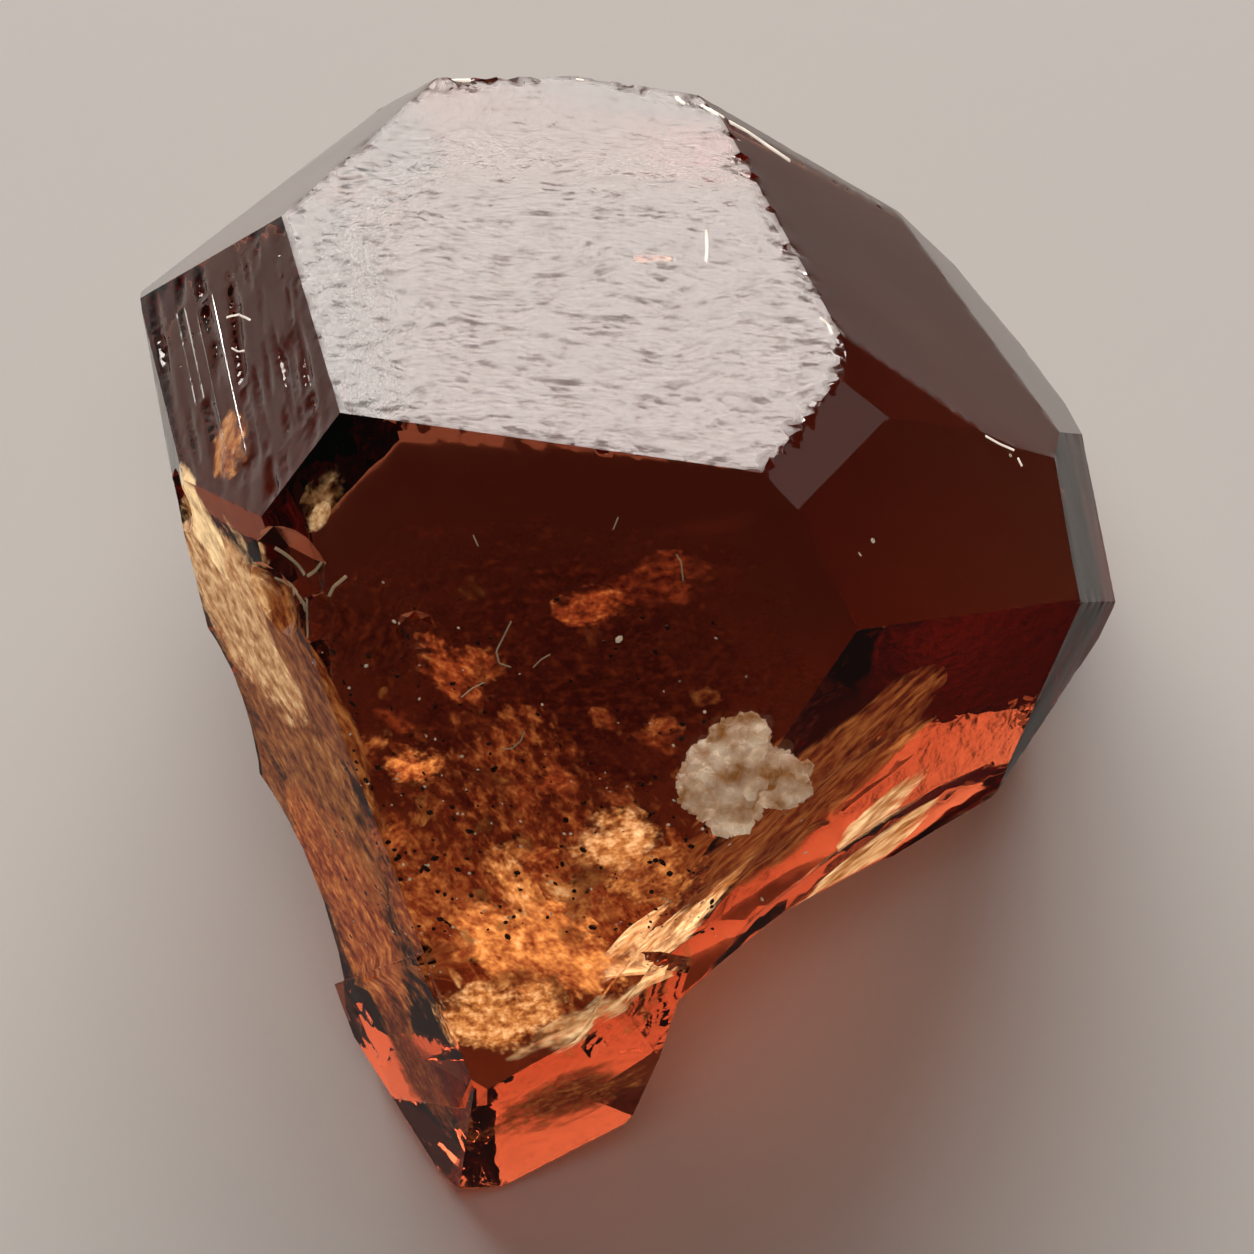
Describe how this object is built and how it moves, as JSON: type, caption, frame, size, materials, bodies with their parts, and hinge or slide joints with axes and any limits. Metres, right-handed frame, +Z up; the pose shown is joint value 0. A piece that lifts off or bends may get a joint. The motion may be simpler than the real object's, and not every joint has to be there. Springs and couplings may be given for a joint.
{
  "type": "imperial topaz crystal",
  "caption": "Stout, many-faced clear orange-brown topaz crystal with a bright etched top face, grooved side, broken lower rim and small grown-on grains, lying on a flat back.",
  "frame": {"origin": "middle of the crystal's box, at the bottom, on the surface that it rests on", "axes": "+Z up; the crystal lies on its flat back with its foot towards -Y and its large bright face towards +Y; its height when lying is its shortest extent"},
  "size_m": [0.0246, 0.0262, 0.0175],
  "materials": {
    "topaz": "natural crystal faces, clear orange-brown, glossy, etched on the top face"
  },
  "bodies": {
    "root": {"topaz_crystal": "topaz"}
  },
  "joints": []
}
